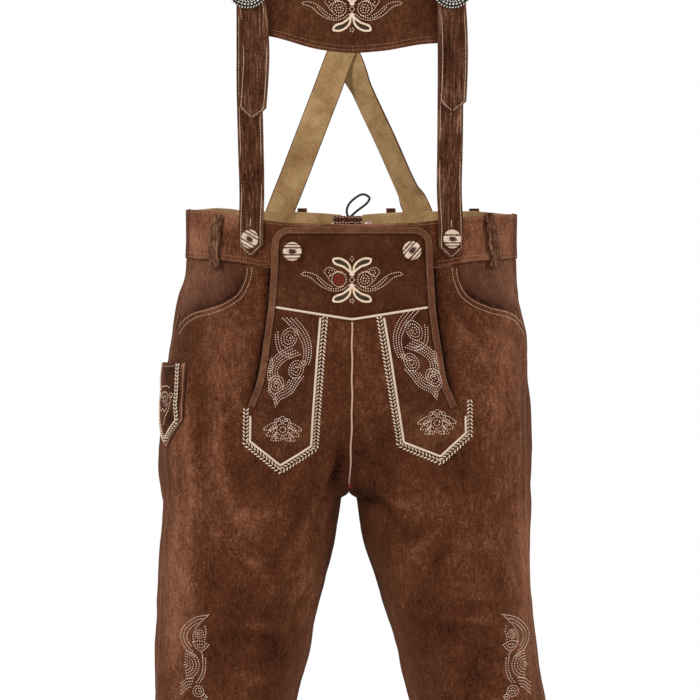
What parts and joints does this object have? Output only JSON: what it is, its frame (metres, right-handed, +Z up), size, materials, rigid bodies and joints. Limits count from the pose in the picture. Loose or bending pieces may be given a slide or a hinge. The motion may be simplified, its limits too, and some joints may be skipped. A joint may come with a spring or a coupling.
{
  "type": "knee-length lederhosen with crossed braces, in worn form",
  "caption": "Knee-length suede breeches in hollow worn form, with a buttoned drop-front flap, hip pockets, crossed braces with a chest piece, and a laced back waistband.",
  "frame": {"origin": "the middle of the wearer's waist, halfway up the waistband", "axes": "+Z up the wearer's body, -Y to the front, +X to the wearer's left"},
  "size_m": [0.3997, 0.277, 1.0321],
  "materials": {
    "suede": "brushed brown suede, mottled, paler where it is rubbed",
    "suede_dark": "dark brown suede of the flap, facings, sewn-on panels and chest piece",
    "cord": "pale cream piping cord",
    "horn": "cream horn-look button with dark streaks",
    "silver": "antiqued silver colour",
    "lace": "dark green-grey cord"
  },
  "bodies": {
    "root": {"applique_left": "suede_dark", "applique_right": "suede_dark", "back_left": "suede", "back_right": "suede", "buckle_bar_left": "silver", "buckle_bar_right": "silver", "buckle_left": "silver", "buckle_right": "silver", "button_back_left": "horn", "button_back_right": "horn", "button_flap_left": "horn", "button_flap_right": "horn", "button_strap_left": "horn", "button_strap_right": "horn", "chest_piece": "suede_dark", "eyelet_left_high": "silver", "eyelet_left_low": "silver", "eyelet_right_high": "silver", "eyelet_right_low": "silver", "flap_binding": "suede", "flap_yoke": "suede_dark", "front_left": "suede", "front_right": "suede", "knife_pocket": "suede", "lace_back": "lace", "loop_back_left": "suede", "loop_back_right": "suede", "loop_front_left": "suede", "loop_front_right": "suede", "loop_side_left": "suede", "loop_side_right": "suede", "piping_centre": "cord", "piping_left": "cord", "piping_right": "cord", "piping_yoke": "cord", "pocket_facing_left": "suede_dark", "pocket_facing_right": "suede_dark", "notch_tongue": "suede_dark", "slit_facing_left": "suede_dark", "slit_facing_right": "suede_dark", "strap_front_left": "suede", "strap_front_right": "suede", "strap_shoulder_left": "suede", "strap_shoulder_right": "suede", "waistband_back_left": "suede", "waistband_back_right": "suede", "waistband_front_left": "suede", "waistband_front_right": "suede"}
  },
  "joints": []
}
